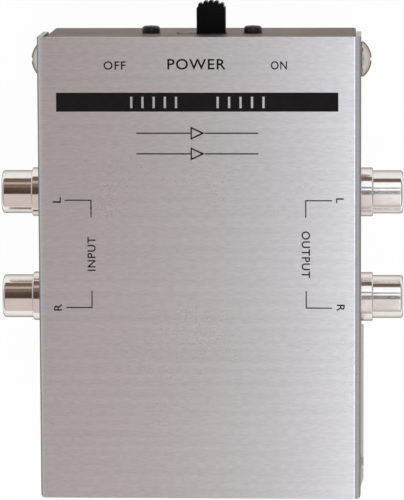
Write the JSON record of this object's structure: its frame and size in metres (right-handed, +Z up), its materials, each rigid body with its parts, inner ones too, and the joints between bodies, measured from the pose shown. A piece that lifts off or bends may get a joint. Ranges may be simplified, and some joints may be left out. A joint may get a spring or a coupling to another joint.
{
  "type": "phono preamp",
  "caption": "Small battery phono preamp in a brushed aluminium case, with phono jacks on both sides and a slide power switch at one end.",
  "frame": {"origin": "on the surface that the feet stand on, under the middle of the case", "axes": "+X to the output side, +Y to the switch end, +Z up"},
  "size_m": [0.0772, 0.0965, 0.032],
  "materials": {
    "cover_aluminium": "brushed across the case, with printed black legends",
    "chassis_steel": "satin plated sheet",
    "foot_rubber": "matt moulded rubber",
    "jack_nickel": "polished nickel plate",
    "white_insulator": "glossy moulded",
    "red_insulator": "glossy moulded",
    "contact_brass": "bright",
    "plated_steel": "zinc plated",
    "nickel_screw": "nickel plated",
    "black_screw": "black oxide",
    "knob_plastic": "moulded, fine texture",
    "phenolic_board": "laminated phenolic",
    "circuit_laminate": "solder resist over laminate",
    "chip_plastic": "moulded epoxy",
    "capacitor_sleeve": "shrink sleeve",
    "film_capacitor_resin": "dipped resin",
    "resistor_paint": "lacquered, with colour bands",
    "battery_wrap": "printed metal wrap, plain",
    "snap_vinyl": "soft vinyl",
    "wire_insulation": "coloured insulation"
  },
  "bodies": {
    "case": {"amplifier_chip": "chip_plastic", "base_chassis": "chassis_steel", "battery": "battery_wrap", "battery_clip": "plated_steel", "battery_leads": "wire_insulation", "battery_posts": "plated_steel", "battery_snap_connector": "snap_vinyl", "board_screws": "plated_steel", "board_standoffs": "plated_steel", "chip_legs": "plated_steel", "chip_socket": "chip_plastic", "circuit_board": "circuit_laminate", "cover_screw_nuts": "plated_steel", "cover_screws": "nickel_screw", "electrolytic_capacitors": "capacitor_sleeve", "film_capacitors": "film_capacitor_resin", "foot_front_left": "foot_rubber", "foot_front_right": "foot_rubber", "foot_rear_left": "foot_rubber", "foot_rear_right": "foot_rubber", "ground_nut": "plated_steel", "ground_screw": "nickel_screw", "ground_washer": "plated_steel", "ground_wires": "wire_insulation", "input_left_jack_contact": "contact_brass", "input_left_jack_insulator": "white_insulator", "input_left_jack_shell": "jack_nickel", "input_right_jack_contact": "contact_brass", "input_right_jack_insulator": "red_insulator", "input_right_jack_shell": "jack_nickel", "jack_ground_lugs": "plated_steel", "jack_nuts": "plated_steel", "output_left_jack_contact": "contact_brass", "output_left_jack_insulator": "white_insulator", "output_left_jack_shell": "jack_nickel", "output_right_jack_contact": "contact_brass", "output_right_jack_insulator": "red_insulator", "output_right_jack_shell": "jack_nickel", "rear_locating_studs": "plated_steel", "resistors": "resistor_paint", "signal_wires": "wire_insulation", "switch_body": "phenolic_board", "switch_frame": "plated_steel", "switch_screws": "black_screw", "switch_terminals": "contact_brass", "switch_wires": "wire_insulation", "top_cover": "cover_aluminium"},
    "switch_slider": {"switch_knob": "knob_plastic", "switch_wipers": "contact_brass"}
  },
  "joints": [
    {"name": "switch_slide", "type": "slide", "parent": "case", "child": "switch_slider", "axis": [1, 0, 0], "range_m": [-0.0036, 0]}
  ]
}
